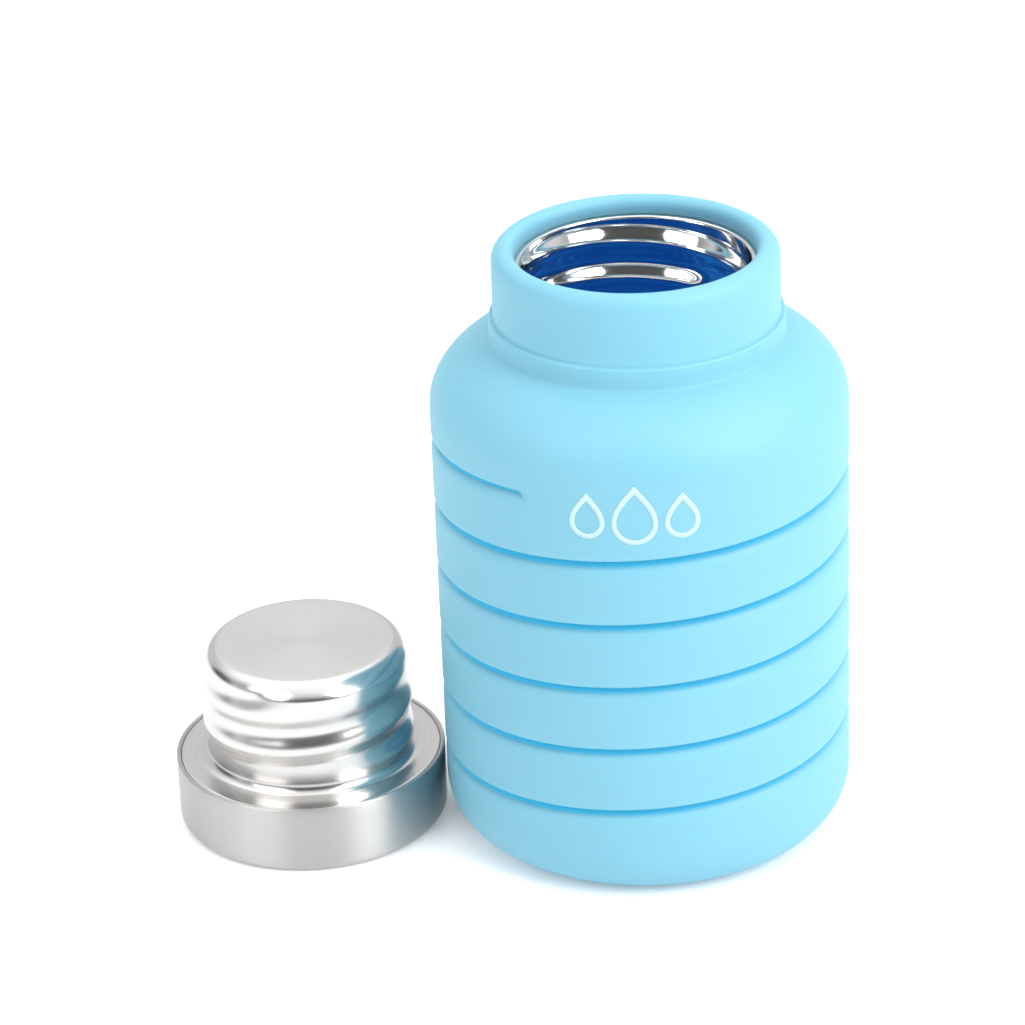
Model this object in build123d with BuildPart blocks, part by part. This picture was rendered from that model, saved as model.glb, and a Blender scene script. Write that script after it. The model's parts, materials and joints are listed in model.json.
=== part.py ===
"""A folding water bottle, shown folded, with its screw cap standing upside down beside it.

Sizes are in millimetres and +Z is up. The origin is on the floor, on the bottle's axis, and the
front is -Y. The bottle is one silicone moulding around a steel collar. Its side is a spiral
bellows: a slit winds up through the outer wall, and behind it two thin legs nest like stacked
cones, so that the bottle can be drawn out to almost twice its height. The moulding is cut here
into a foot, nine half turns of the spiral band and a shoulder, because each of them rises by
its own share of the draw.
"""

import os

from build123d import *

# Silicone body
body_radius = 37.0
body_height = 111.5
wall = 2.5
floor_thickness = 3.0
foot_round = 9.5

# Spiral bellows, folded: one right-handed slit, given by its lower end and its pitch
pitch = 12.2
slit_gap = 0.7
slit_start_height = 11.8
slit_start_azimuth = 59.3
slit_turns = 5.5
band_turns = slit_turns - 1
fold_count = 9
end_gap_angle = 0.6
draw_length = 94.5
leg_rise = draw_length / band_turns / 2
leg_thickness = 1.4
apex_radius = 26.3
band_edge_round = 0.6

# Shoulder and neck
dome_foot_height = 82.5
dome_side_reach = 7.0
dome_top_height = 94.8
dome_top_reach = 3.4
dome_top_drop = 1.0
step_radius = 26.0
step_top_height = 98.9
step_round = 0.4
neck_radius = 25.2
lip_radius = 21.2
rim_outer_round = 2.4
rim_inner_round = 1.3

# Threaded steel collar, moulded into the neck
collar_bore = 20.2
collar_wall = 0.7
collar_foot_height = 93.6
collar_top_height = 108.4
collar_mouth_round = 0.4
bead_width = 1.4
collar_clearance = 0.1
thread_pitch = 7.2
thread_half_width = 1.8
thread_root = 0.3
collar_thread_depth = 1.05
collar_thread_height = 95.5
collar_thread_turns = 1.48
collar_thread_azimuth = 46.0

# Screw cap, upside down on the floor: a brushed cup, and a plug with a flange set into it
cap_axis_x = -62.2
cap_radius = 24.8
cap_height = 13.0
cap_wall = 0.8
cap_edge_round = 1.8
cap_rim_round = 0.3
flange_drop = 0.2
flange_clearance = 0.05
plug_radius = 18.4
plug_height = 21.7
plug_wall = 0.7
plug_end_round = 2.8
plug_root_round = 2.0
plug_thread_depth = 1.25
plug_thread_height = 15.2
plug_thread_turns = 2.03
thread_lead = 0.95

# Screwed on, the flange lies a seat gap above the lip, and the plug's thread lies a little
# closer over the collar's than half a pitch
seat_gap = 0.15
flange_top = cap_height - flange_drop
flange_sum = body_height + seat_gap + flange_top
thread_sum = collar_thread_height + plug_thread_height
thread_shift = thread_sum - flange_sum - thread_lead
plug_thread_azimuth = 360 * thread_shift / thread_pitch - collar_thread_azimuth

cap_axis = Axis((cap_axis_x, 0, 0), (0, 0, 1))
cap_section = Plane(origin=(cap_axis_x, 0, 0), x_dir=(1, 0, 0), z_dir=(0, -1, 0))


def save(piece, name):
    """Label a finished piece and write its STEP file."""
    piece.label = name
    export_step(piece, f"parts/{name}.step")


def corner(profile, x, y):
    """The corner of a profile that lies at a given place."""
    return profile.vertices().sort_by_distance((x, y, 0))[0]


def helical_sweep(section, radius, lead, turns):
    """Carry a section of the XZ plane up a right-handed helix about Z."""
    with BuildPart() as sweeping:
        with BuildLine() as path:
            Helix(lead, lead * turns, radius)
        with BuildSketch(Plane.XZ):
            add(section)
        sweep(path=path.line, is_frenet=True)
    return sweeping.part


def on_slit(piece, turn):
    """Place a piece that was made at azimuth 0 and height 0 where the slit is after some turns."""
    height = slit_start_height + pitch * turn
    return piece.rotate(Axis.Z, slit_start_azimuth + 360 * turn).moved(Location((0, 0, height)))


def slit_cutters(first_turn, below, above):
    """Two half turns of a helical block through the wall, from below the slit to above it."""
    with BuildSketch() as block:
        with Locations((body_radius - wall / 2, (above - below) / 2)):
            Rectangle(2 * wall, above + below)
    half_block = helical_sweep(block.sketch, body_radius, pitch, 0.5)
    return [on_slit(half_block, first_turn), on_slit(half_block, first_turn + 0.5)]


def thread_ridge(root_radius, crest_radius, turns):
    """A rolled thread: a rounded ridge carried up a helix, rooted inside its own wall."""
    with BuildSketch() as ridge:
        with BuildLine():
            ThreePointArc(
                (root_radius, -thread_half_width),
                (crest_radius, 0),
                (root_radius, thread_half_width),
            )
            Line((root_radius, thread_half_width), (root_radius, -thread_half_width))
        make_face()
    return helical_sweep(ridge.sketch, root_radius, thread_pitch, turns)


os.makedirs("parts", exist_ok=True)

# Foot: a round-edged cup whose top edge climbs one turn under the slit
base_top = slit_start_height + pitch - slit_gap / 2
base_cutters = slit_cutters(0, slit_gap / 2, pitch + slit_gap)

with BuildPart() as base_cup:
    with BuildSketch(Plane.XZ) as base_profile:
        with BuildLine():
            Polyline(
                (0, 0),
                (body_radius, 0),
                (body_radius, base_top),
                (body_radius - wall, base_top),
                (body_radius - wall, floor_thickness),
                (0, floor_thickness),
                close=True,
            )
        make_face()
        fillet(corner(base_profile, body_radius, 0), foot_round)
        fillet(corner(base_profile, body_radius - wall, floor_thickness), foot_round - wall)
    revolve(axis=Axis.Z)
    add(base_cutters, mode=Mode.SUBTRACT)
save(base_cup.part, "base_cup")

# Bellows: half turns of the outer band, each with its two inner legs
band_inside = body_radius - wall
band_foot = slit_gap / 2
band_top = pitch - slit_gap / 2

with BuildSketch() as fold_profile:
    with BuildLine():
        Polyline(
            (body_radius, band_foot),
            (body_radius, band_top),
            (band_inside, band_top),
            (apex_radius, band_top + leg_rise),
            (apex_radius, band_top + leg_rise - leg_thickness),
            (band_inside, band_top - leg_thickness),
            (band_inside, band_foot + leg_thickness),
            (apex_radius, band_foot + leg_rise + leg_thickness),
            (apex_radius, band_foot + leg_rise),
            (band_inside, band_foot),
            close=True,
        )
    make_face()
    fillet(fold_profile.vertices().group_by(Axis.X)[-1], band_edge_round)

fold_turns = band_turns / fold_count
end_gap = end_gap_angle / 360
half_turn = helical_sweep(fold_profile.sketch, body_radius, pitch, fold_turns - end_gap)

for index in range(fold_count):
    fold = on_slit(half_turn, index * fold_turns + end_gap / 2)
    save(fold, f"fold_{index + 1}")

# Shoulder: dome, neck and soft lip, its bottom edge climbing one turn above the slit
shoulder_foot = slit_start_height + pitch * band_turns + slit_gap / 2
shoulder_cutters = slit_cutters(band_turns, pitch + slit_gap, slit_gap / 2)
sleeve_radius = collar_bore + collar_wall + collar_clearance
bead_pocket = sleeve_radius + bead_width
bead_height = collar_wall + 2 * collar_clearance
pocket_foot = collar_foot_height - collar_clearance
pocket_top = collar_top_height + collar_clearance

with BuildPart() as shoulder:
    with BuildSketch(Plane.XZ) as shoulder_profile:
        with BuildLine():
            Line((body_radius, shoulder_foot), (body_radius, dome_foot_height))
            Bezier(
                (body_radius, dome_foot_height),
                (body_radius, dome_foot_height + dome_side_reach),
                (step_radius + dome_top_reach, dome_top_height - dome_top_drop),
                (step_radius, dome_top_height),
            )
            Polyline(
                (step_radius, dome_top_height),
                (step_radius, step_top_height),
                (neck_radius, step_top_height),
                (neck_radius, body_height),
                (lip_radius, body_height),
                (lip_radius, pocket_top),
                (bead_pocket, pocket_top),
                (bead_pocket, pocket_top - bead_height),
                (sleeve_radius, pocket_top - bead_height),
                (sleeve_radius, pocket_foot + bead_height),
                (bead_pocket, pocket_foot + bead_height),
                (bead_pocket, pocket_foot),
                (lip_radius, pocket_foot),
                (lip_radius, dome_top_height - wall),
            )
            Bezier(
                (lip_radius, dome_top_height - wall),
                (step_radius + dome_top_reach - wall / 2, dome_top_height - dome_top_drop - wall),
                (band_inside, dome_foot_height + dome_side_reach - wall / 2),
                (band_inside, dome_foot_height),
            )
            Line((band_inside, dome_foot_height), (band_inside, shoulder_foot))
            Line((band_inside, shoulder_foot), (body_radius, shoulder_foot))
        make_face()
        fillet(corner(shoulder_profile, neck_radius, body_height), rim_outer_round)
        fillet(corner(shoulder_profile, lip_radius, body_height), rim_inner_round)
        fillet(corner(shoulder_profile, step_radius, step_top_height), step_round)
    revolve(axis=Axis.Z)
    add(shoulder_cutters, mode=Mode.SUBTRACT)
save(shoulder.part, "shoulder")

# Collar: a steel tube with a bead at each end and a rolled thread inside
collar_outside = collar_bore + collar_wall
bead_radius = collar_outside + bead_width
collar_crest = collar_bore - collar_thread_depth
collar_ridge = thread_ridge(collar_bore + thread_root, collar_crest, collar_thread_turns)
collar_ridge = collar_ridge.rotate(Axis.Z, collar_thread_azimuth)
collar_ridge = collar_ridge.moved(Location((0, 0, collar_thread_height)))

with BuildPart() as neck_collar:
    with BuildSketch(Plane.XZ) as collar_profile:
        with BuildLine():
            Polyline(
                (collar_bore, collar_foot_height),
                (bead_radius, collar_foot_height),
                (bead_radius, collar_foot_height + collar_wall),
                (collar_outside, collar_foot_height + collar_wall),
                (collar_outside, collar_top_height - collar_wall),
                (bead_radius, collar_top_height - collar_wall),
                (bead_radius, collar_top_height),
                (collar_bore, collar_top_height),
                close=True,
            )
        make_face()
        fillet(corner(collar_profile, collar_bore, collar_top_height), collar_mouth_round)
    revolve(axis=Axis.Z)
    add(collar_ridge)
save(neck_collar.part, "neck_collar")

# Cap cup: a shallow drawn shell, its closed face on the floor
cup_inside = cap_radius - cap_wall

with BuildPart() as cap_cup:
    with BuildSketch(cap_section) as cup_profile:
        with BuildLine():
            Polyline(
                (0, 0),
                (cap_radius, 0),
                (cap_radius, cap_height),
                (cup_inside, cap_height),
                (cup_inside, cap_wall),
                (0, cap_wall),
                close=True,
            )
        make_face()
        fillet(corner(cup_profile, cap_radius, 0), cap_edge_round)
        fillet(corner(cup_profile, cup_inside, cap_wall), cap_edge_round - cap_wall)
        fillet(corner(cup_profile, cap_radius, cap_height), cap_rim_round)
        fillet(corner(cup_profile, cup_inside, cap_height), cap_rim_round)
    revolve(axis=cap_axis)
save(cap_cup.part, "cap_cup")

# Cap plug: a hollow drawn plug with a flange at its root and a rolled thread outside
flange_foot = flange_top - plug_wall
flange_radius = cup_inside - flange_clearance
plug_top = cap_height + plug_height
plug_inside = plug_radius - plug_wall
plug_crest = plug_radius + plug_thread_depth
plug_ridge = thread_ridge(plug_radius - thread_root, plug_crest, plug_thread_turns)
plug_ridge = plug_ridge.rotate(Axis.Z, plug_thread_azimuth)
plug_ridge = plug_ridge.moved(Location((cap_axis_x, 0, plug_thread_height)))

with BuildPart() as cap_plug:
    with BuildSketch(cap_section) as plug_profile:
        with BuildLine():
            Polyline(
                (flange_radius, flange_foot),
                (flange_radius, flange_top),
                (plug_radius, flange_top),
                (plug_radius, plug_top),
                (0, plug_top),
                (0, plug_top - plug_wall),
                (plug_inside, plug_top - plug_wall),
                (plug_inside, flange_foot),
                close=True,
            )
        make_face()
        fillet(corner(plug_profile, plug_radius, flange_top), plug_root_round)
        fillet(corner(plug_profile, plug_radius, plug_top), plug_end_round)
        fillet(corner(plug_profile, plug_inside, plug_top - plug_wall), plug_end_round - plug_wall)
    revolve(axis=cap_axis)
    add(plug_ridge)
save(cap_plug.part, "cap_plug")
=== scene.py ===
import json
import math

import bmesh
import bpy
import numpy as np
from mathutils import Matrix, Vector


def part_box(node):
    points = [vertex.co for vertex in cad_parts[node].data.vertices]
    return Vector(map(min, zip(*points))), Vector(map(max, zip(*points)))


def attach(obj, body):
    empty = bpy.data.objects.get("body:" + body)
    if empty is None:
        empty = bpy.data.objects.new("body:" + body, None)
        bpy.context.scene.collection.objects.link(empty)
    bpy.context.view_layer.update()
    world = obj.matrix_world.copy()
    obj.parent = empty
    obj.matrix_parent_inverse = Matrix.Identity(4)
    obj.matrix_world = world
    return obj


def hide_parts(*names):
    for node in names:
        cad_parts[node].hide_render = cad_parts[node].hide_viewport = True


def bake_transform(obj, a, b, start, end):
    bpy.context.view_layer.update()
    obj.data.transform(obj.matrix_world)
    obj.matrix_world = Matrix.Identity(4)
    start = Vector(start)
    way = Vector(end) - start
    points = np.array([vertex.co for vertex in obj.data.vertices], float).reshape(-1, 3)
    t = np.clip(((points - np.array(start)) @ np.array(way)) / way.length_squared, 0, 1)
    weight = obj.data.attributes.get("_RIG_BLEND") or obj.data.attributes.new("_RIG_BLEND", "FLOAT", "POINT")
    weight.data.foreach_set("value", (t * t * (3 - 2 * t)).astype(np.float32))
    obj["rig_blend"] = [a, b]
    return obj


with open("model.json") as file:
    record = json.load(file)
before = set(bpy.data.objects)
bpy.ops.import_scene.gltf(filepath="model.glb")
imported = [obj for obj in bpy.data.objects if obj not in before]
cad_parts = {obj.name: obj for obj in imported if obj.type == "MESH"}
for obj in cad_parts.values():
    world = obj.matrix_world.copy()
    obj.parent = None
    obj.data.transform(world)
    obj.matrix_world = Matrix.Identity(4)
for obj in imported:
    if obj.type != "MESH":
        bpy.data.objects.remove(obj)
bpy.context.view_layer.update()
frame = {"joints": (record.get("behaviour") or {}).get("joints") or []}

# ---------------------------------------------------------------------------------------------
# Driving dimensions, in metres. What the CAD knows is read from the frame.
# ---------------------------------------------------------------------------------------------
MM = 0.001

_, foot_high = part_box("base_cup")
fold_1_low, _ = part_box("fold_1")
fold_3_low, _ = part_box("fold_3")
_, shoulder_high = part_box("shoulder")
collar_low, collar_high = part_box("neck_collar")
cup_low, cup_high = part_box("cap_cup")
_, plug_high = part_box("cap_plug")
fold_joint = next(joint for joint in frame["joints"] if joint["name"] == "fold")

BODY_R = foot_high.x
BODY_TOP = shoulder_high.z
PITCH = fold_3_low.z - fold_1_low.z
DRAW = fold_joint["range_m"][1]

# Spiral bellows. The slit is wider here than the 0.7 mm that the CAD leaves between its half turns.
GAP = 1.3 * MM
END_GAP_SHARE = 0.5
SLIT_Z = fold_1_low.z - 0.55 * MM
SLIT_AZIMUTH = 59.3
SLIT_TURNS = 5.5
BAND_TURNS = SLIT_TURNS - 1
APEX_R = 26.3 * MM
WALL = 2.5 * MM
INNER_R = BODY_R - WALL
LEG_RISE = DRAW / BAND_TURNS / 2
LEG = 1.4 * MM
WEB = 0.9 * MM
UPPER_EDGE_ROUND = 0.5 * MM
LOWER_EDGE_REACH = 1.3 * MM
LOWER_EDGE_RISE = 2.0 * MM
ROOT_ROUND = 0.5 * MM
BAND_EDGE = 0.35 * MM
MOUTH_TAPER_TURNS = 0.012
GAP_TAPER_TURNS = 0.12
DEPTH_TAPER_TURNS = 0.35
COLUMNS = 240

# The slit's painted shade comes in between two depths, and its painted glow shows where its other side is
# within reach
SLIT_SHADE_START = 0.4 * MM
SLIT_SHADE_END = 1.2 * MM
SLIT_CLOSED_REACH = 5 * MM

# Foot, dome, neck and lip
FLOOR = 3.0 * MM
FLOOR_HUB_R = 1.0 * MM
FOOT_ROUND = 9.5 * MM
FLOOR_ROUND = 6.2 * MM
DOME_Z = 82.5 * MM
DOME_SIDE_REACH = 7.0 * MM
DOME_TOP_Z = 94.8 * MM
DOME_TOP_REACH = 3.4 * MM
DOME_TOP_DROP = 1.0 * MM
STEP_R = 26.0 * MM
STEP_TOP_Z = 98.9 * MM
STEP_ROUND = 0.4 * MM
STEP_ROOT_ROUND = 0.8 * MM
NECK_R = 25.2 * MM
NECK_ROOT_ROUND = 0.25 * MM
LIP_R = 21.2 * MM
RIM_OUTER_ROUND = 2.4 * MM
RIM_INNER_ROUND = 1.6 * MM

# Steel collar
COLLAR_BORE = 20.2 * MM
COLLAR_WALL = 0.7 * MM
COLLAR_MOUTH_ROUND = 0.4 * MM
COLLAR_BEAD_R = collar_high.x
COLLAR_CLEARANCE = 0.1 * MM
THREAD_PITCH = 7.2 * MM
THREAD_HALF_WIDTH = 3.5 * MM
COLLAR_THREAD_DEPTH = 1.05 * MM
COLLAR_THREAD_Z = 95.5 * MM
COLLAR_THREAD_TURNS = 1.48
COLLAR_THREAD_AZIMUTH = 46.0
COLLAR_FADE_TURNS = 0.05

# Cap, upside down on the floor
CAP_X = (cup_low.x + cup_high.x) / 2
CAP_R = (cup_high.x - cup_low.x) / 2
CAP_H = cup_high.z
CAP_WALL = 0.8 * MM
CAP_EDGE_ROUND = 1.8 * MM
CAP_RIM_ROUND = 0.3 * MM
FLANGE_DROP = 0.2 * MM
FLANGE_CLEARANCE = 0.05 * MM
FLANGE_ROUND = 0.2 * MM
FLANGE_Z = CAP_H - FLANGE_DROP
PLUG_R = 18.4 * MM
PLUG_TOP = plug_high.z
PLUG_WALL = 0.7 * MM
PLUG_END_ROUND = 2.8 * MM
PLUG_ROOT_ROUND = 2.0 * MM
PLUG_THREAD_DEPTH = 0.95 * MM
PLUG_THREAD_Z = 15.2 * MM
PLUG_THREAD_TURNS = 2.31
PLUG_FADE_TURNS = 0.12
PLUG_RUN_OUT_TURNS = 0.35
PLUG_SPREAD = 6.0 * MM
PLUG_SPREAD_TURNS = 0.13

# Screwed on, the plug's thread stands THREAD_LEAD below the middle between two of the collar's turns
THREAD_LEAD = 0.95 * MM
SEAT_GAP = 0.15 * MM
SEATED_Z = COLLAR_THREAD_Z + PLUG_THREAD_Z - BODY_TOP - SEAT_GAP - FLANGE_Z - THREAD_LEAD
PLUG_THREAD_AZIMUTH = 360 * SEATED_Z / THREAD_PITCH - COLLAR_THREAD_AZIMUTH

# Printed drops: where the middle one is, and then each one's offset along the wall and its radius
MARK_Z = 75.4 * MM
MARK_AZIMUTH = -90.7
MARK_LINE = 0.9 * MM
MARK_PROUD = 0.06 * MM
MARK_DROPS = ((-8.2 * MM, 3.1 * MM), (0.0, 4.0 * MM), (8.2 * MM, 3.1 * MM))


# ---------------------------------------------------------------------------------------------
# Mesh helpers
# ---------------------------------------------------------------------------------------------
def smoothstep(x):
    """0 below 0, 1 above 1, and smooth between."""
    x = min(1.0, max(0.0, x))
    return x * x * (3 - 2 * x)


def arc(centre_r, centre_z, radius, start, end, steps):
    """Points of a circular arc in a (radius, height) profile, angles in degrees."""
    angles = [math.radians(start + (end - start) * i / steps) for i in range(steps + 1)]
    return [(centre_r + radius * math.cos(a), centre_z + radius * math.sin(a)) for a in angles]


def bezier(p0, p1, p2, p3, steps):
    """Points of a cubic curve in a (radius, height) profile."""
    points = []
    for i in range(steps + 1):
        t = i / steps
        weights = ((1 - t) ** 3, 3 * t * (1 - t) ** 2, 3 * t * t * (1 - t), t**3)
        points.append(tuple(sum(w * p[k] for w, p in zip(weights, (p0, p1, p2, p3))) for k in (0, 1)))
    return points


def stretch(p0, p1, steps):
    """Evenly spaced points of a straight stretch, its first point left out."""
    return [
        (p0[0] + (p1[0] - p0[0]) * i / steps, p0[1] + (p1[1] - p0[1]) * i / steps)
        for i in range(1, steps + 1)
    ]


def make_object(name, points, faces):
    """A smooth-shaded mesh object whose faces all look outwards."""
    mesh = bpy.data.meshes.new(name)
    mesh.from_pydata([tuple(p) for p in points], [], [tuple(f) for f in faces])
    work = bmesh.new()
    work.from_mesh(mesh)
    bmesh.ops.recalc_face_normals(work, faces=work.faces)
    work.to_mesh(mesh)
    work.free()
    mesh.polygons.foreach_set("use_smooth", [True] * len(mesh.polygons))
    mesh.update()
    thing = bpy.data.objects.new(name, mesh)
    bpy.context.scene.collection.objects.link(thing)
    return thing


def lathe(name, centre_x, profile, columns, shift=None):
    """A closed profile turned about a vertical axis. shift(angle, r, z) may move a point outwards.

    A profile that starts and ends on the axis closes itself there with a fan.
    """
    points = []
    faces = []
    on_axis = profile[0][0] == 0
    body = profile[1:-1] if on_axis else profile
    for k in range(columns):
        angle = 2 * math.pi * k / columns
        for r, z in body:
            far = r + (shift(angle, r, z) if shift else 0)
            points.append((far * math.cos(angle), far * math.sin(angle), z))
    rows = len(body)
    spans = rows - 1 if on_axis else rows
    for k in range(columns):
        here = k * rows
        there = (k + 1) % columns * rows
        for m in range(spans):
            n = (m + 1) % rows
            faces.append((here + m, there + m, there + n, here + n))
    if on_axis:
        ends = ((0, profile[0][1]), (rows - 1, profile[-1][1]))
        for row, z in ends:
            centre = len(points)
            points.append((0, 0, z))
            for k in range(columns):
                faces.append((centre, k * rows + row, (k + 1) % columns * rows + row))
    thing = make_object(name, points, faces)
    thing.location = (centre_x, 0, 0)
    return thing


def thread_shift(start_z, start_azimuth, turns, depth, fade_in, fade_out, spread=0.0):
    """A shift for lathe: one rolled thread whose ends fade into the wall.

    Where its upper end fades, its upper side may first spread, so that the groove above it runs out.
    """

    def shift(angle, z):
        base = start_z + THREAD_PITCH * (math.degrees(angle) - start_azimuth) / 360
        along = (z - base) / THREAD_PITCH
        nearest = round(along)
        reach = 0.0
        for whole in (nearest - 1, nearest, nearest + 1):
            turn = (math.degrees(angle) - start_azimuth) / 360 + whole
            above = z - start_z - THREAD_PITCH * turn
            wider = spread * smoothstep((turn - turns + fade_out) / PLUG_SPREAD_TURNS + 1)
            away = above / (THREAD_HALF_WIDTH + wider) if above > 0 else -above / THREAD_HALF_WIDTH
            if away < 1 and 0 < turn < turns:
                fade = smoothstep(turn / fade_in) * smoothstep((turns - turn) / fade_out)
                reach = max(reach, fade * (1 + math.cos(math.pi * away)) / 2)
        return depth * reach

    return shift


# ---------------------------------------------------------------------------------------------
# Silicone body: one closed skin, outside and inside, woven along the spiral
# ---------------------------------------------------------------------------------------------
def slit_depth(turn, taper):
    """How far open the slit is at a place along it: 1, fading to 0 at its two ends."""
    return smoothstep(turn / taper) * smoothstep((SLIT_TURNS - turn) / taper)


def outer_groove(turn):
    """Rows across the slit, seen from outside: (radius, height from the slit, share of the upper side)."""
    mouth = slit_depth(turn, MOUTH_TAPER_TURNS)
    deep = slit_depth(turn, DEPTH_TAPER_TURNS)
    half = GAP / 2 * (END_GAP_SHARE + (1 - END_GAP_SHARE) * slit_depth(turn, GAP_TAPER_TURNS))
    low_span = half + LOWER_EDGE_RISE
    high_span = half + UPPER_EDGE_ROUND
    root_r = BODY_R - LEG - (BODY_R - LEG - INNER_R) * deep
    apex_r = BODY_R - LEG - (BODY_R - LEG - APEX_R) * deep
    rise = LEG_RISE * deep
    low_edge = [
        (BODY_R - LOWER_EDGE_REACH * (1 - r), -low_span + LOWER_EDGE_RISE * z)
        for r, z in arc(0, 0, 1, 0, 90, 6)
    ]
    high_edge = arc(BODY_R - UPPER_EDGE_ROUND, high_span, UPPER_EDGE_ROUND, -90, 0, 4)
    rows = [(r, z, 0.0) for r, z in low_edge]
    rows.append((root_r, -half, 0.0))
    rows.append(((root_r + apex_r) / 2, -half + rise / 2, 0.0))
    rows.append((apex_r + half, -half + rise, 0.0))
    rows.append((apex_r, rise, 0.0))
    rows.append((apex_r + half, half + rise, 0.0))
    rows.append(((root_r + apex_r) / 2, half + rise / 2, 0.5))
    rows.append((root_r, half, 1.0))
    rows += [(r, z, 1.0) for r, z in high_edge]
    last = len(rows) - 1
    return [
        (
            BODY_R + (r - BODY_R) * mouth,
            (i / last * (low_span + high_span) - low_span) * (1 - mouth) + z * mouth,
            share,
        )
        for i, (r, z, share) in enumerate(rows)
    ]


def inner_groove(turn):
    """Rows over the two nested legs behind the slit, seen from inside."""
    deep = slit_depth(turn, DEPTH_TAPER_TURNS)
    half = GAP / 2 + LEG
    span = half + ROOT_ROUND
    tip = APEX_R - WEB
    middle_r = (INNER_R + APEX_R) / 2
    rows = [
        (INNER_R, -span, 0.0),
        (INNER_R - ROOT_ROUND / 3, -half - ROOT_ROUND / 3, 0.0),
        (INNER_R - ROOT_ROUND, -half + ROOT_ROUND / 2, 0.0),
        (middle_r, -half + LEG_RISE / 2, 0.0),
        (APEX_R, -half + LEG_RISE, 0.0),
        (tip + WEB / 4, -half / 2 + LEG_RISE, 0.0),
        (tip, LEG_RISE, 0.0),
        (tip + WEB / 4, half / 2 + LEG_RISE, 0.0),
        (APEX_R, half + LEG_RISE, 0.0),
        (middle_r, half + LEG_RISE / 2, 0.5),
        (INNER_R - ROOT_ROUND, half + ROOT_ROUND / 2, 1.0),
        (INNER_R - ROOT_ROUND / 3, half + ROOT_ROUND, 1.0),
        (INNER_R, half + ROOT_ROUND * 1.5, 1.0),
    ]
    last = len(rows) - 1
    return [
        (INNER_R + (r - INNER_R) * deep, (2 * i / last - 1) * span * (1 - deep) + z * deep, share)
        for i, (r, z, share) in enumerate(rows)
    ]


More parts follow.
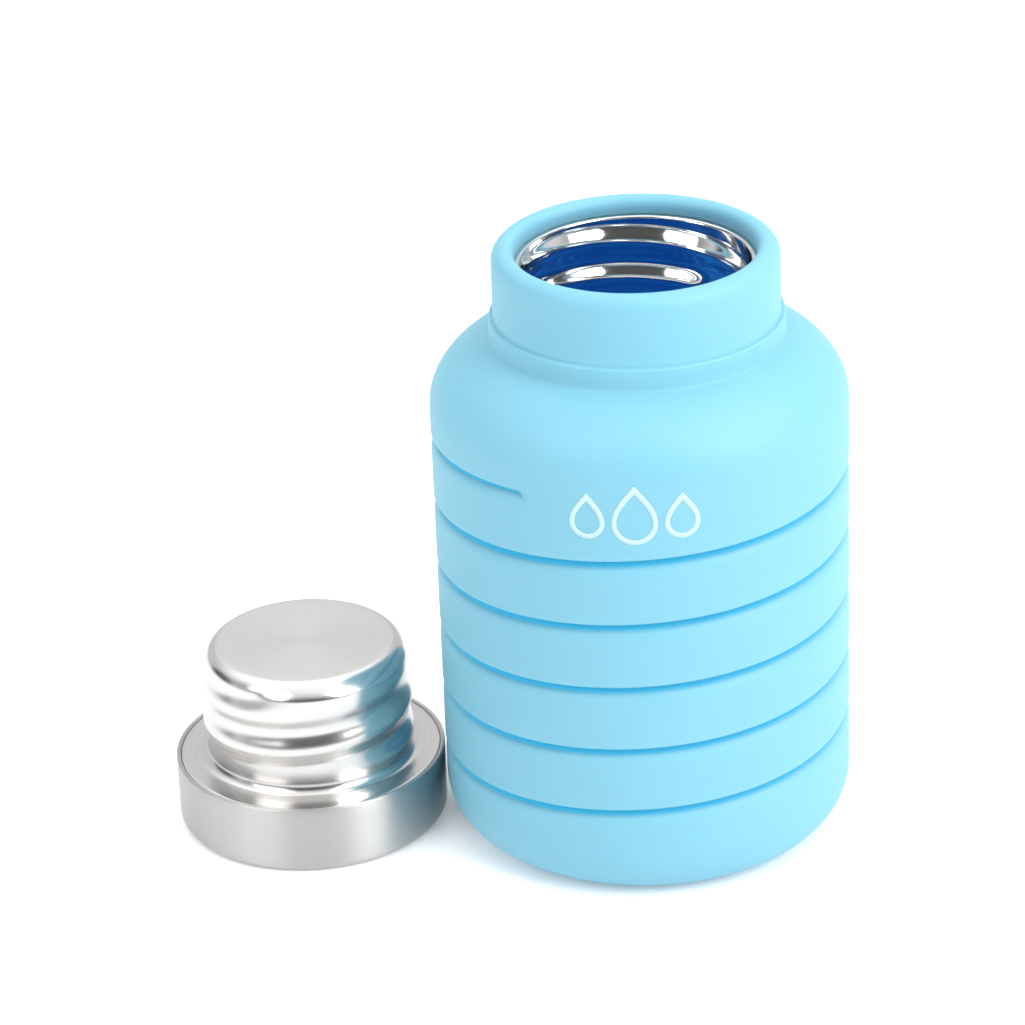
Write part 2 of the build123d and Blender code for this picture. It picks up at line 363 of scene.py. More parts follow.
class Skin:
    """One side of the silicone, as columns that climb from the middle of the foot to the lip."""

    def __init__(self, points, weights, depths, faces, wall_r, groove, foot_rings, top_rings):
        self.points = points
        self.weights = weights
        self.depths = depths
        self.faces = faces
        self.wall_r = wall_r
        self.groove_of = groove
        self.band_total = int(COLUMNS * BAND_TURNS)
        self.slit_total = int(COLUMNS * SLIT_TURNS)
        self.laying_groove = True
        self.groove = [self.groove_column(c) for c in range(self.slit_total + 1)]
        self.laying_groove = False
        self.band = [self.band_column(c) for c in range(self.band_total + 1)]
        self.foot = self.rings(foot_rings, 0.0)
        self.foot_wall = [
            self.wall_column(k, foot_rings[-1][1], self.low_edge(k), 0.0) for k in range(COLUMNS)
        ]
        self.top_wall = []
        for k in range(COLUMNS):
            column = self.band_total + k
            edge = self.high_edge(self.slit_total if k == 0 else column)
            self.top_wall.append(self.wall_column(column, edge, top_rings[0][1], 1.0))
        self.top = self.rings(top_rings, 1.0)
        self.weave()

    def vertex(self, column, r, z, weight):
        """A new vertex in a column of the grid, whose azimuth is counted from the slit's lower end."""
        angle = math.radians(SLIT_AZIMUTH + 360 * column / COLUMNS)
        self.points.append((r * math.cos(angle), r * math.sin(angle), z))
        self.weights.append(weight)
        self.depths.append(self.depth(r, z))
        return len(self.points) - 1

    def depth(self, r, z):
        """0 on the open wall, 1 down in the slit and 2 on the inside, for the painted shade and painted glow.
        """
        if self.wall_r == INNER_R:
            return 2.0 if z < collar_high.z else 0.0
        if self.laying_groove:
            # Deeper in the slit, more painted shade
            down = (BODY_R - r - SLIT_SHADE_START) / (SLIT_SHADE_END - SLIT_SHADE_START)
            return min(1.0, max(0.0, down))
        return 0.0

    def band_weight(self, turn):
        """The share of the draw that the band above the slit makes."""
        return min(1.0, max(0.0, turn / BAND_TURNS))

    def groove_column(self, column):
        """The rows across the slit, which go from the band below it to the band above it."""
        turn = column / COLUMNS
        low = self.band_weight(turn - 1)
        high = self.band_weight(turn)
        z0 = SLIT_Z + PITCH * turn
        return [
            self.vertex(column, r, z0 + z, low + (high - low) * share) for r, z, share in self.groove_of(turn)
        ]

    def low_edge(self, column):
        """The height of the slit's lower edge."""
        return self.points[self.groove[column][0]][2]

    def high_edge(self, column):
        """The height of the slit's upper edge."""
        return self.points[self.groove[column][-1]][2]

    def band_column(self, column):
        """Rows of plain wall between one turn of the slit and the next."""
        low = self.high_edge(column)
        high = self.low_edge(column + COLUMNS)
        middle = [low + (high - low) * i / 5 for i in range(1, 5)]
        heights = [low + BAND_EDGE] + middle + [high - BAND_EDGE]
        weight = self.band_weight(column / COLUMNS)
        return [self.vertex(column, self.wall_r, z, weight) for z in heights]

    def wall_column(self, column, low, high, weight):
        """Rows of plain wall between a ring and the slit, at shares of the height."""
        shares = (0.06, 0.25, 0.5, 0.75, 0.94)
        return [self.vertex(column, self.wall_r, low + (high - low) * s, weight) for s in shares]

    def rings(self, profile, weight):
        """Columns of a plain lathe, on the same azimuths as the spiral."""
        start = 0 if weight == 0.0 else self.band_total
        return [[self.vertex(start + k, r, z, weight) for r, z in profile] for k in range(COLUMNS)]

    def quads(self, left, right):
        """Faces between two columns with the same rows."""
        for i in range(len(left) - 1):
            self.faces.append((left[i], right[i], right[i + 1], left[i + 1]))

    def zip_up(self, left, right):
        """Triangles between two columns with different rows, always closing the lower one first."""
        i = 0
        j = 0
        while i < len(left) - 1 or j < len(right) - 1:
            next_left = self.points[left[i + 1]][2] if i < len(left) - 1 else math.inf
            next_right = self.points[right[j + 1]][2] if j < len(right) - 1 else math.inf
            if next_left < next_right:
                self.faces.append((left[i], right[j], left[i + 1]))
                i += 1
            else:
                self.faces.append((left[i], right[j], right[j + 1]))
                j += 1

    def weave(self):
        """Joins all the columns."""
        groove = self.groove
        band = self.band
        for c in range(self.slit_total):
            self.quads(groove[c], groove[c + 1])
        for c in range(self.band_total):
            left = [groove[c][-1]] + band[c] + [groove[c + COLUMNS][0]]
            right = [groove[c + 1][-1]] + band[c + 1] + [groove[c + 1 + COLUMNS][0]]
            self.quads(left, right)
        # The foot's wall climbs for one turn, and then meets the start of the first band
        foot = [self.foot[k] + self.foot_wall[k] + [groove[k][0]] for k in range(COLUMNS)]
        for k in range(COLUMNS - 1):
            self.quads(foot[k], foot[k + 1])
        start = foot[0] + groove[0][1:] + band[0] + [groove[COLUMNS][0]]
        common = len(self.foot[0])
        self.quads(foot[-1][:common], start[:common])
        self.zip_up(foot[-1][common - 1 :], start[common - 1 :])
        # The shoulder's wall starts at the end of the last band, and climbs for one turn
        first = self.band_total
        top = [[groove[first + k][-1]] + self.top_wall[k] + self.top[k] for k in range(COLUMNS)]
        top[0][0] = groove[self.slit_total][-1]
        for k in range(1, COLUMNS):
            self.quads(top[k], top[(k + 1) % COLUMNS])
        end = [groove[first][-1]] + band[first] + groove[self.slit_total]
        end += self.top_wall[0] + self.top[0][:1]
        self.zip_up(end, top[1][: len(self.top_wall[1]) + 2])
        self.quads(self.top[0], self.top[1])

    def close_foot(self, z):
        """A fan at the middle of the foot."""
        centre = self.vertex(0, 0.0, z, 0.0)
        for k in range(COLUMNS):
            self.faces.append((centre, self.foot[(k + 1) % COLUMNS][0], self.foot[k][0]))


def silicone_body():
    """The foot, the spiral bellows, the dome and the neck, as the single moulding they are."""
    points = []
    weights = []
    depths = []
    faces = []
    outer_foot = [(FLOOR_HUB_R, 0.0)]
    outer_foot += stretch(outer_foot[0], (BODY_R - FOOT_ROUND, 0.0), 5)
    outer_foot += arc(BODY_R - FOOT_ROUND, FOOT_ROUND, FOOT_ROUND, -90, 0, 14)[1:]
    step_root = (STEP_R, DOME_TOP_Z)
    dome = bezier(
        (BODY_R, DOME_Z),
        (BODY_R, DOME_Z + DOME_SIDE_REACH),
        (STEP_R + DOME_TOP_REACH, DOME_TOP_Z - DOME_TOP_DROP),
        step_root,
        22,
    )
    cove = STEP_ROOT_ROUND
    outer_top = [p for p in dome if p[0] > STEP_R + cove]
    outer_top += arc(STEP_R + cove, DOME_TOP_Z + cove * 0.75, cove, -105, -180, 5)
    outer_top += stretch(outer_top[-1], (STEP_R, STEP_TOP_Z - STEP_ROUND), 3)
    outer_top += arc(STEP_R - STEP_ROUND, STEP_TOP_Z - STEP_ROUND, STEP_ROUND, 0, 90, 3)[1:]
    root = NECK_ROOT_ROUND
    outer_top += arc(NECK_R + root, STEP_TOP_Z + root, root, -90, -180, 2)
    outer_top += stretch(outer_top[-1], (NECK_R, BODY_TOP - RIM_OUTER_ROUND), 5)
    outer_top += arc(NECK_R - RIM_OUTER_ROUND, BODY_TOP - RIM_OUTER_ROUND, RIM_OUTER_ROUND, 0, 90, 7)[1:]
    outer_top += arc(LIP_R + RIM_INNER_ROUND, BODY_TOP - RIM_INNER_ROUND, RIM_INNER_ROUND, 90, 180, 6)

    inner_foot = [(FLOOR_HUB_R, FLOOR)]
    inner_foot += stretch(inner_foot[0], (INNER_R - FLOOR_ROUND, FLOOR), 5)
    inner_foot += arc(INNER_R - FLOOR_ROUND, FLOOR + FLOOR_ROUND, FLOOR_ROUND, -90, 0, 10)[1:]
    under_collar = collar_low.z - COLLAR_CLEARANCE
    over_collar = collar_high.z + COLLAR_CLEARANCE
    pocket_r = COLLAR_BEAD_R + COLLAR_CLEARANCE
    inner_top = bezier(
        (INNER_R, DOME_Z),
        (INNER_R, DOME_Z + DOME_SIDE_REACH - WALL / 2),
        (STEP_R + DOME_TOP_REACH - WALL / 2, DOME_TOP_Z - DOME_TOP_DROP - WALL),
        (LIP_R, DOME_TOP_Z - WALL),
        16,
    )
    inner_top += stretch(inner_top[-1], (LIP_R, under_collar), 2)
    inner_top += stretch(inner_top[-1], (pocket_r, under_collar), 1)
    inner_top += stretch(inner_top[-1], (pocket_r, over_collar), 3)
    inner_top += stretch(inner_top[-1], (LIP_R, over_collar), 1)

    outside = Skin(points, weights, depths, faces, BODY_R, outer_groove, outer_foot, outer_top)
    inside = Skin(points, weights, depths, faces, INNER_R, inner_groove, inner_foot, inner_top)
    outside.close_foot(0.0)
    inside.close_foot(FLOOR)
    for k in range(COLUMNS):
        j = (k + 1) % COLUMNS
        faces.append((outside.top[k][-1], outside.top[j][-1], inside.top[j][-1], inside.top[k][-1]))
    thing = make_object("silicone_body", points, faces)
    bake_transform(thing, "base", "shoulder", (0, 0, SLIT_Z), (0, 0, DOME_Z))
    # The half turns rise in proportion to how far up the spiral they are, not to their height
    attribute = thing.data.attributes["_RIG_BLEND"]
    attribute.data.foreach_set("value", np.array(weights, np.float32))
    depth = thing.data.attributes.new("depth", "FLOAT", "POINT")
    depth.data.foreach_set("value", np.array(depths, np.float32))
    return thing


# ---------------------------------------------------------------------------------------------
# Steel parts
# ---------------------------------------------------------------------------------------------
def steel_collar():
    """The collar's tube: a bead at each end and a rolled thread inside."""
    bore = COLLAR_BORE
    outside = bore + COLLAR_WALL
    low = collar_low.z
    high = collar_high.z
    lip = COLLAR_WALL / 2
    mouth = COLLAR_MOUTH_ROUND
    inside_rows = stretch((bore, high - mouth), (bore, low + lip), 60)
    profile = arc(bore + lip, low + lip, lip, 180, 270, 4)
    profile += stretch(profile[-1], (COLLAR_BEAD_R - lip, low), 1)
    profile += arc(COLLAR_BEAD_R - lip, low + lip, lip, -90, 90, 4)[1:]
    profile += [(outside, low + 2 * lip), (outside, high - 2 * lip)]
    profile += arc(COLLAR_BEAD_R - lip, high - lip, lip, -90, 90, 4)
    profile += arc(bore + mouth, high - mouth, mouth, 90, 180, 4)
    profile += inside_rows[:-1]
    thread = thread_shift(
        COLLAR_THREAD_Z,
        COLLAR_THREAD_AZIMUTH,
        COLLAR_THREAD_TURNS,
        COLLAR_THREAD_DEPTH,
        COLLAR_FADE_TURNS,
        COLLAR_FADE_TURNS,
    )

    def shift(angle, r, z):
        on_bore = math.isclose(r, bore)
        return -thread(angle, z) if on_bore else 0.0

    return lathe("steel_collar", 0.0, profile, 240, shift)


def steel_cup():
    """The cap's cup: a drawn shell with a rounded edge and a thin rim."""
    inside = CAP_R - CAP_WALL
    profile = [(0, 0)] + stretch((0, 0), (CAP_R - CAP_EDGE_ROUND, 0), 6)
    profile += arc(CAP_R - CAP_EDGE_ROUND, CAP_EDGE_ROUND, CAP_EDGE_ROUND, -90, 0, 8)[1:]
    profile += stretch(profile[-1], (CAP_R, CAP_H - CAP_RIM_ROUND), 6)
    profile += arc(CAP_R - CAP_RIM_ROUND, CAP_H - CAP_RIM_ROUND, CAP_RIM_ROUND, 0, 90, 3)[1:]
    profile += arc(inside + CAP_RIM_ROUND, CAP_H - CAP_RIM_ROUND, CAP_RIM_ROUND, 90, 180, 3)
    profile += stretch(profile[-1], (inside, CAP_EDGE_ROUND), 3)
    bend = CAP_EDGE_ROUND - CAP_WALL
    profile += arc(inside - bend, CAP_EDGE_ROUND, bend, 0, -90, 4)[1:]
    profile += stretch(profile[-1], (0, CAP_WALL), 2)
    return lathe("steel_cup", CAP_X, profile, 192)


def steel_plug():
    """The plug: its flange, two rolled turns of thread and a round-edged end."""
    flange_r = CAP_R - CAP_WALL - FLANGE_CLEARANCE
    under = FLANGE_Z - PLUG_WALL
    inside = PLUG_R - PLUG_WALL
    inner_round = PLUG_END_ROUND - PLUG_WALL
    end_r = PLUG_R - PLUG_END_ROUND
    end_z = PLUG_TOP - PLUG_END_ROUND
    profile = [(0, PLUG_TOP - PLUG_WALL)]
    profile += stretch(profile[-1], (inside - inner_round, PLUG_TOP - PLUG_WALL), 2)
    profile += arc(end_r, end_z, inner_round, 90, 0, 5)[1:]
    profile += stretch(profile[-1], (inside, under), 3)
    profile += stretch(profile[-1], (flange_r, under), 2)
    profile += arc(flange_r - FLANGE_ROUND, FLANGE_Z - FLANGE_ROUND, FLANGE_ROUND, 0, 90, 2)
    profile += stretch(profile[-1], (PLUG_R + PLUG_ROOT_ROUND, FLANGE_Z), 6)
    profile += arc(PLUG_R + PLUG_ROOT_ROUND, FLANGE_Z + PLUG_ROOT_ROUND, PLUG_ROOT_ROUND, -90, -180, 6)[1:]
    profile += stretch(profile[-1], (PLUG_R, end_z), 70)
    profile += arc(end_r, end_z, PLUG_END_ROUND, 0, 90, 24)[1:]
    profile += stretch(profile[-1], (0, PLUG_TOP), 6)
    thread = thread_shift(
        PLUG_THREAD_Z,
        PLUG_THREAD_AZIMUTH,
        PLUG_THREAD_TURNS,
        PLUG_THREAD_DEPTH,
        PLUG_FADE_TURNS,
        PLUG_RUN_OUT_TURNS,
        PLUG_SPREAD,
    )

    def shift(angle, r, z):
        on_wall = r > (inside + PLUG_R) / 2 and FLANGE_Z <= z < end_z
        on_rounding = r >= end_r and z >= end_z
        if not on_wall and not on_rounding:
            return 0.0
        return thread(angle, z) * smoothstep((PLUG_TOP - z) / PLUG_END_ROUND)

    return lathe("steel_plug", CAP_X, profile, 240, shift)


def printed_mark():
    """A printed row of three plain water drops in outline, each a thin ring let into the wall."""
    points = []
    faces = []
    steps = 40
    for offset, size in MARK_DROPS:
        start = len(points)
        for radius in (size, size - MARK_LINE):
            for layer in (MARK_PROUD, -MARK_PROUD):
                for s in range(steps):
                    turn = 2 * math.pi * s / steps
                    across = radius * math.sin(turn)
                    # A drop: a circle whose top is drawn up to a point
                    up = -radius * math.cos(turn)
                    if up > 0:
                        across *= 1 - 0.75 * (up / radius) ** 2
                        up *= 1.75
                    angle = math.radians(MARK_AZIMUTH) + (offset + across) / BODY_R
                    far = BODY_R + layer
                    points.append((far * math.cos(angle), far * math.sin(angle), MARK_Z + up))
        outer_top = start
        outer_low = start + steps
        inner_top = start + 2 * steps
        inner_low = start + 3 * steps
        for s in range(steps):
            n = (s + 1) % steps
            faces.append((outer_top + s, outer_top + n, inner_top + n, inner_top + s))
            faces.append((inner_low + s, inner_low + n, outer_low + n, outer_low + s))
            faces.append((outer_low + s, outer_low + n, outer_top + n, outer_top + s))
            faces.append((inner_top + s, inner_top + n, inner_low + n, inner_low + s))
    return make_object("printed_drops", points, faces)


# ---------------------------------------------------------------------------------------------
# Materials
# ---------------------------------------------------------------------------------------------
SILICONE_GRAIN = 0.1 * MM
SILICONE_SOAK = 1.5 * MM
# Share of the inside's painted glow that glossy rays, such as the collar's steel, see
INSIDE_GLOW_MIRRORED = 0.3
STEEL_GRAIN = 0.04 * MM
# How far the steel's noise moves on for each radian of turn: very little, so its marks run long
STEEL_TURN_STEP = 0.0006


def new_material(name):
    """A node material, its node tree and its principled shader."""
    material = bpy.data.materials.new(name)
    material.use_nodes = True
    tree = material.node_tree
    return material, tree, tree.nodes["Principled BSDF"]


def node(tree, kind, **values):
    """Adds a node, and sets its properties and its inputs by name."""
    made = tree.nodes.new(kind)
    for key, value in values.items():
        if hasattr(made, key):
            setattr(made, key, value)
        else:
            made.inputs[key.replace("_", " ")].default_value = value
    return made


def ramp(tree, stops):
    """A colour ramp with the given (place, colour) stops."""
    made = tree.nodes.new("ShaderNodeValToRGB")
    elements = made.color_ramp.elements
    elements[0].position, elements[0].color = stops[0]
    elements[1].position, elements[1].color = stops[-1]
    for place, colour in stops[1:-1]:
        element = elements.new(place)
        element.color = colour
    return made


def remap(tree, source, span, result, smooth=False):
    """The output of a node that takes source from one span of values to another."""
    kind = "SMOOTHSTEP" if smooth else "LINEAR"
    made = node(tree, "ShaderNodeMapRange", interpolation_type=kind)
    names = ("From Min", "From Max", "To Min", "To Max")
    for name, value in zip(names, span + result):
        made.inputs[name].default_value = value
    tree.links.new(source, made.inputs["Value"])
    return made.outputs["Result"]


def calculate(tree, operation, first, second):
    """The output of a math node on an output and either a second output or a plain number."""
    made = node(tree, "ShaderNodeMath", operation=operation)
    tree.links.new(first, made.inputs[0])
    if isinstance(second, (int, float)):
        made.inputs[1].default_value = second
    else:
        tree.links.new(second, made.inputs[1])
    return made.outputs["Value"]


def silicone_material():
    """Satin moulded silicone: sky blue and slightly translucent, with painted shade and a painted glow inside
    and in the folds.
    """
    material, tree, shader = new_material("silicone")
    link = tree.links.new
    place = node(tree, "ShaderNodeTexCoord")
    cloud = node(tree, "ShaderNodeTexNoise", Scale=22.0, Detail=3.0)
    link(place.outputs["Object"], cloud.inputs["Vector"])
    tint = ramp(tree, ((0.3, (0.166, 0.450, 0.580, 1)), (0.7, (0.178, 0.468, 0.598, 1))))
    link(cloud.outputs["Fac"], tint.inputs["Fac"])
    # Down in the slit and inside, a deeper colour paints in shade, and a painted glow stands in for the light
    # that soaks through the silicone
    depth = node(tree, "ShaderNodeAttribute", attribute_name="depth")
    halved = calculate(tree, "MULTIPLY", depth.outputs["Fac"], 0.5)
    painted_shade_tint = ramp(tree, ((0.5, (0.115, 0.420, 0.565, 1)), (1.0, (0.030, 0.300, 0.620, 1))))
    link(halved, painted_shade_tint.inputs["Fac"])
    mix = node(tree, "ShaderNodeMix", data_type="RGBA")
    link(depth.outputs["Fac"], mix.inputs["Factor"])
    link(tint.outputs["Color"], mix.inputs["A"])
    link(painted_shade_tint.outputs["Color"], mix.inputs["B"])
    link(mix.outputs["Result"], shader.inputs["Base Color"])
    # Colours of the painted glow, in the slit and on the inside
    slit_glow_colour = (0.016, 0.230, 0.340, 1)
    inside = (0.001, 0.060, 0.160, 1)
    painted_glow = ramp(tree, ((0.0, (0, 0, 0, 1)), (0.5, slit_glow_colour), (1.0, inside)))
    link(halved, painted_glow.inputs["Fac"])
    link(painted_glow.outputs["Color"], shader.inputs["Emission Color"])
    # The painted glow fades where a leg is drawn out into the open and lit like the wall, so only a closed
    # slit keeps it
    open_share = node(tree, "ShaderNodeAmbientOcclusion", samples=8, Distance=SLIT_CLOSED_REACH)
    closed = remap(tree, open_share.outputs["AO"], (0.25, 0.75), (1.0, 0.0), smooth=True)
    past_slit = calculate(tree, "SUBTRACT", depth.outputs["Fac"], 1.0)
    glow_kept = calculate(tree, "MAXIMUM", closed, past_slit)
    # The collar's steel mirrors the inside's painted glow dimmer than the eye sees it
    path = node(tree, "ShaderNodeLightPath")
    mirrored = remap(tree, path.outputs["Is Glossy Ray"], (0.0, 1.0), (1.0, INSIDE_GLOW_MIRRORED))
    painted_glow_strength = calculate(tree, "MULTIPLY", glow_kept, mirrored)
    link(painted_glow_strength, shader.inputs["Emission Strength"])
    grain = node(tree, "ShaderNodeTexNoise", Scale=1500.0, Detail=2.0)
    link(place.outputs["Object"], grain.inputs["Vector"])
    bump = node(tree, "ShaderNodeBump", Strength=0.06, Distance=SILICONE_GRAIN)
    link(grain.outputs["Fac"], bump.inputs["Height"])
    link(bump.outputs["Normal"], shader.inputs["Normal"])
    shine = remap(tree, cloud.outputs["Fac"], (0.0, 1.0), (0.56, 0.64))
    link(shine, shader.inputs["Roughness"])
    shader.inputs["Subsurface Weight"].default_value = 0.35
    shader.inputs["Subsurface Radius"].default_value = (0.4, 0.9, 1.0)
    shader.inputs["Subsurface Scale"].default_value = SILICONE_SOAK
    shader.inputs["Specular IOR Level"].default_value = 0.75
    shader.inputs["Sheen Weight"].default_value = 0.05
    shader.inputs["Sheen Roughness"].default_value = 0.5
    shader.inputs["Sheen Tint"].default_value = (0.75, 0.95, 1.0, 1)
    return material


def steel_material(name, colour, roughness, streak, anisotropy):
    """Stainless steel turned about a vertical axis, with fine marks that run round it."""
    material, tree, shader = new_material(name)
    link = tree.links.new
    place = node(tree, "ShaderNodeTexCoord")
    split = node(tree, "ShaderNodeSeparateXYZ")
    link(place.outputs["Object"], split.inputs["Vector"])
    flat = node(tree, "ShaderNodeCombineXYZ")
    link(split.outputs["X"], flat.inputs["X"])
    link(split.outputs["Y"], flat.inputs["Y"])
    reach = node(tree, "ShaderNodeVectorMath", operation="LENGTH")
    link(flat.outputs["Vector"], reach.inputs[0])
    along = calculate(tree, "ARCTAN2", split.outputs["Y"], split.outputs["X"])
    slow = calculate(tree, "MULTIPLY", along, STEEL_TURN_STEP)
    turned = node(tree, "ShaderNodeCombineXYZ")
    link(reach.outputs["Value"], turned.inputs["X"])
    link(slow, turned.inputs["Y"])
    link(split.outputs["Z"], turned.inputs["Z"])
    lines = node(tree, "ShaderNodeTexNoise", Scale=4200.0, Detail=4.0, Roughness=0.65)
    link(turned.outputs["Vector"], lines.inputs["Vector"])
    bump = node(tree, "ShaderNodeBump", Strength=streak, Distance=STEEL_GRAIN)
    link(lines.outputs["Fac"], bump.inputs["Height"])
    link(bump.outputs["Normal"], shader.inputs["Normal"])
    tint = ramp(tree, ((0.25, tuple(c * 0.93 for c in colour) + (1,)), (0.75, colour + (1,))))
    link(lines.outputs["Fac"], tint.inputs["Fac"])
    link(tint.outputs["Color"], shader.inputs["Base Color"])
    rough = remap(tree, lines.outputs["Fac"], (0.0, 1.0), (roughness * 0.85, roughness * 1.2))
    link(rough, shader.inputs["Roughness"])
    shader.inputs["Metallic"].default_value = 1.0
    shader.inputs["Anisotropic"].default_value = anisotropy
    shader.inputs["Anisotropic Rotation"].default_value = 0.25
    tangent = node(tree, "ShaderNodeTangent", direction_type="RADIAL", axis="Z")
    link(tangent.outputs["Tangent"], shader.inputs["Tangent"])
    return material


def print_material():
    """Thin pale print on silicone."""
    material, tree, shader = new_material("print")
    link = tree.links.new
    place = node(tree, "ShaderNodeTexCoord")
    cloud = node(tree, "ShaderNodeTexNoise", Scale=900.0, Detail=2.0)
    link(place.outputs["Object"], cloud.inputs["Vector"])
    tint = ramp(tree, ((0.3, (0.44, 0.64, 0.76, 1)), (0.7, (0.47, 0.68, 0.79, 1))))
    link(cloud.outputs["Fac"], tint.inputs["Fac"])
    link(tint.outputs["Color"], shader.inputs["Base Color"])
    shader.inputs["Roughness"].default_value = 0.6
    return material


def floor_material():
    """White paper, lit a little from behind."""
    material, tree, shader = new_material("paper")
    link = tree.links.new
    place = node(tree, "ShaderNodeTexCoord")
    cloud = node(tree, "ShaderNodeTexNoise", Scale=3.0, Detail=2.0)
    link(place.outputs["Object"], cloud.inputs["Vector"])
    tint = ramp(tree, ((0.3, (0.84, 0.84, 0.84, 1)), (0.7, (0.86, 0.86, 0.86, 1))))
    link(cloud.outputs["Fac"], tint.inputs["Fac"])
    link(tint.outputs["Color"], shader.inputs["Base Color"])
    shader.inputs["Roughness"].default_value = 0.9
    shader.inputs["Specular IOR Level"].default_value = 0.1
    shader.inputs["Emission Color"].default_value = (1, 1, 1, 1)
    shader.inputs["Emission Strength"].default_value = 0.18
    return material


# ---------------------------------------------------------------------------------------------
# Pieces on their bodies
# ---------------------------------------------------------------------------------------------
silicone = silicone_material()
brushed = steel_material("brushed_steel", (0.55, 0.545, 0.535), 0.42, 0.25, 0.9)
satin = steel_material("satin_steel", (0.68, 0.67, 0.66), 0.36, 0.35, 0.25)
mirror = steel_material("mirror_steel", (0.80, 0.79, 0.78), 0.09, 0.03, 0.2)
polished = steel_material("polished_steel", (0.66, 0.65, 0.64), 0.23, 0.03, 0.4)

body = silicone_body()
body.data.materials.append(silicone)
folds = [f"fold_{i}" for i in range(1, 10)]
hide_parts("base_cup", "shoulder", *folds)

collar = steel_collar()
collar.data.materials.append(mirror)
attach(collar, "shoulder")
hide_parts("neck_collar")

cup = steel_cup()
cup.data.materials.append(brushed)
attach(cup, "cap")
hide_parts("cap_cup")

plug = steel_plug()
plug.data.materials.append(polished)
plug.data.materials.append(satin)
# The end's flat disc is satin, the second material
disc_low = PLUG_TOP - 0.1 * MM
for face in plug.data.polygons:
    face.material_index = 1 if face.center.z > disc_low else 0
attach(plug, "cap")
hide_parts("cap_plug")

mark = printed_mark()
mark.data.materials.append(print_material())
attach(mark, "shoulder")


# ---------------------------------------------------------------------------------------------
# Floor, light and camera
# ---------------------------------------------------------------------------------------------
CAMERA_AZIMUTH = 3.32
CAMERA_ELEVATION = 25.98
CAMERA_ROLL = -2.33
# The lens and the sensor's width in millimetres
CAMERA_LENS = 140.487805
CAMERA_SENSOR = 36.0
ORIGIN_SEEN = Vector((25.3, 53.4, 741.9)) * MM
LIT_PLACE = Vector((-0.02, 0, 0.06))
BOX_DISTANCE = 1.5
BOX_WIDTH = 0.9
BOX_HEIGHT = 1.0
WORLD_BRIGHT = 0.80
WORLD_TOP = 1.45
WORLD_DIM = 0.10
WORLD_FLAG = 0.12
WORLD_SEEN = 1.05


def floor():
    """A wide pale floor, as a fine grid of one sheet."""
    half = 4.0
    steps = 8
    points = []
    faces = []
    for i in range(steps + 1):
        for j in range(steps + 1):
            points.append((half * (2 * i / steps - 1), half * (2 * j / steps - 1), 0.0))
    for i in range(steps):
        for j in range(steps):
            here = i * (steps + 1) + j
            faces.append((here, here + steps + 1, here + steps + 2, here + 1))
    thing = make_object("studio_floor", points, faces)
    thing.data.materials.append(floor_material())


def look(azimuth, elevation):
    """The direction towards a place around the bottle. Azimuth 0 is at the camera, 90 at its right."""
    a = math.radians(azimuth + CAMERA_AZIMUTH)
    e = math.radians(elevation)
    return Vector((math.sin(a) * math.cos(e), -math.cos(a) * math.cos(e), math.sin(e)))


def softbox(name, azimuth, elevation, power):
    """A rectangular area light that looks at the bottle and the cap."""
    light = bpy.data.lights.new(name, "AREA")
    light.shape = "RECTANGLE"
    light.size = BOX_WIDTH
    light.size_y = BOX_HEIGHT
    light.energy = power
    thing = bpy.data.objects.new(name, light)
    away = look(azimuth, elevation)
    thing.location = LIT_PLACE + away * BOX_DISTANCE
    thing.rotation_euler = away.to_track_quat("Z", "Y").to_euler()
    bpy.context.scene.collection.objects.link(thing)


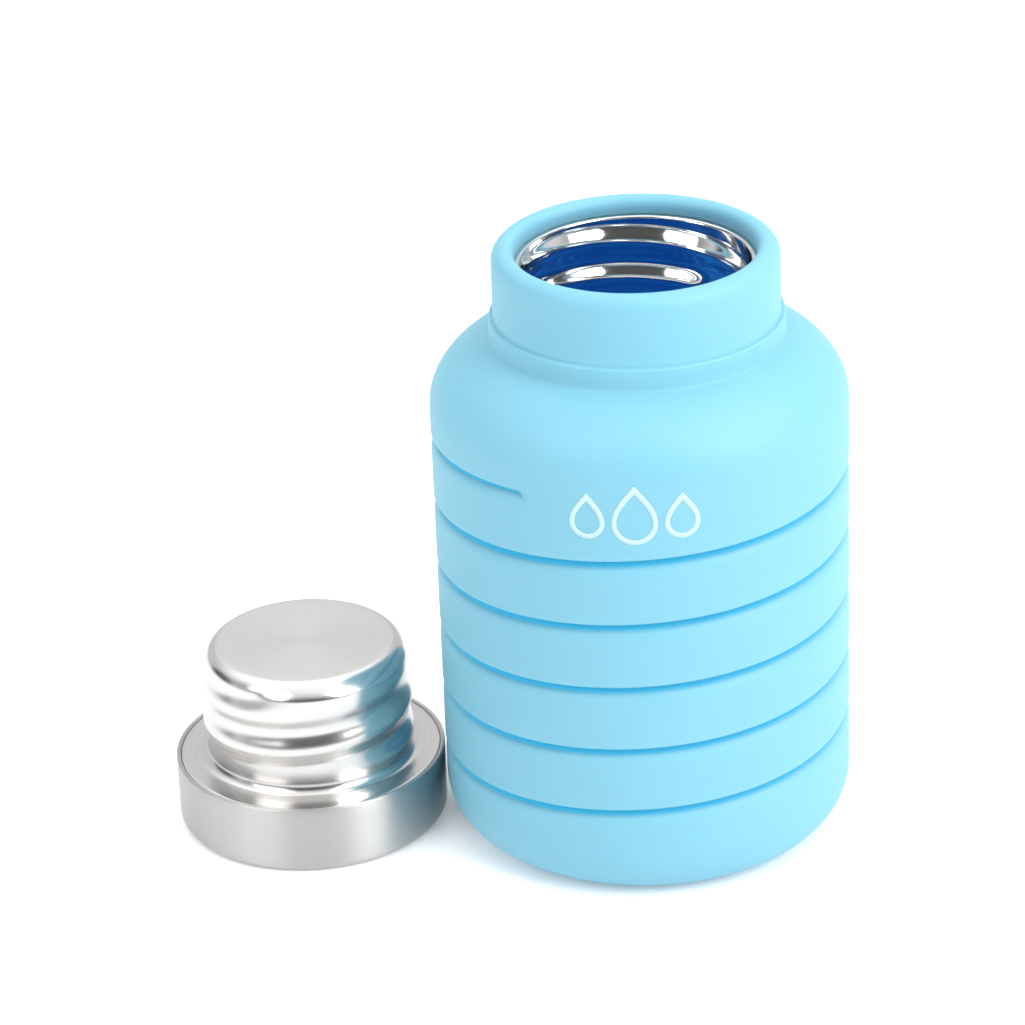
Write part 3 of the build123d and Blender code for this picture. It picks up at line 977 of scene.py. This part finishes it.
def world_light():
    """A pale studio, which the camera itself sees white.

    It is bright behind and overhead, dim on the camera's side, and has a dark flag at the camera's left.
    """
    world = bpy.data.worlds.new("studio")
    bpy.context.scene.world = world
    world.use_nodes = True
    tree = world.node_tree
    link = tree.links.new
    background = tree.nodes["Background"]
    place = node(tree, "ShaderNodeTexCoord")

    def nearness(direction):
        """The cosine of the angle between where a ray goes and that direction."""
        dot = node(tree, "ShaderNodeVectorMath", operation="DOT_PRODUCT")
        dot.inputs[1].default_value = direction
        link(place.outputs["Generated"], dot.inputs[0])
        return dot.outputs["Value"]

    # The spans below are cosines of the angle to each direction
    to_camera = nearness(look(0, 30))
    side = remap(tree, to_camera, (0.10, 0.70), (WORLD_BRIGHT, WORLD_DIM), smooth=True)
    to_flag = nearness(look(-106, 8))
    flagged = remap(tree, to_flag, (0.92, 0.98), (1.0, WORLD_FLAG), smooth=True)
    sides = calculate(tree, "MULTIPLY", side, flagged)
    to_top = nearness((0, 0, 1))
    top = remap(tree, to_top, (0.45, 1.0), (0.0, WORLD_TOP), smooth=True)
    lit = calculate(tree, "ADD", sides, top)
    path = node(tree, "ShaderNodeLightPath")
    seen = node(tree, "ShaderNodeMix", data_type="FLOAT")
    link(path.outputs["Is Camera Ray"], seen.inputs["Factor"])
    link(lit, seen.inputs["A"])
    seen.inputs["B"].default_value = WORLD_SEEN
    link(seen.outputs["Result"], background.inputs["Strength"])
    background.inputs["Color"].default_value = (1.0, 1.0, 1.0, 1)


def camera():
    """From the front and a little above, with a long lens.

    ORIGIN_SEEN is where the camera sees the frame's origin: to its right, down, and ahead.
    """
    azimuth = math.radians(CAMERA_AZIMUTH)
    elevation = math.radians(CAMERA_ELEVATION)
    roll = math.radians(CAMERA_ROLL)
    upright = Matrix(
        (
            (1, 0, 0),
            (0, -math.sin(elevation), -math.cos(elevation)),
            (0, math.cos(elevation), -math.sin(elevation)),
        )
    )
    rolled = Matrix(
        (
            (math.cos(roll), -math.sin(roll), 0),
            (math.sin(roll), math.cos(roll), 0),
            (0, 0, 1),
        )
    )
    yaw = Matrix(
        (
            (math.cos(azimuth), math.sin(azimuth), 0),
            (-math.sin(azimuth), math.cos(azimuth), 0),
            (0, 0, 1),
        )
    )
    to_camera = rolled @ upright @ yaw
    place = -(to_camera.transposed() @ ORIGIN_SEEN)
    # Blender's camera looks along its own -Z with +Y up
    flip = Matrix(((1, 0, 0), (0, -1, 0), (0, 0, -1)))
    turn = (flip @ to_camera).transposed()
    data = bpy.data.cameras.new("camera")
    data.sensor_width = CAMERA_SENSOR
    data.lens = CAMERA_LENS
    thing = bpy.data.objects.new("camera", data)
    thing.matrix_world = Matrix.Translation(place) @ turn.to_4x4()
    bpy.context.scene.collection.objects.link(thing)
    bpy.context.scene.camera = thing


floor()
world_light()
# Azimuth and elevation in degrees, and power in watts
softbox("left_box", -48, 32, 8)
softbox("right_box", 54, 34, 21)
camera()

scene = bpy.context.scene
scene.view_settings.view_transform = "Standard"
scene.cycles.use_denoising = True
scene.cycles.diffuse_bounces = 8
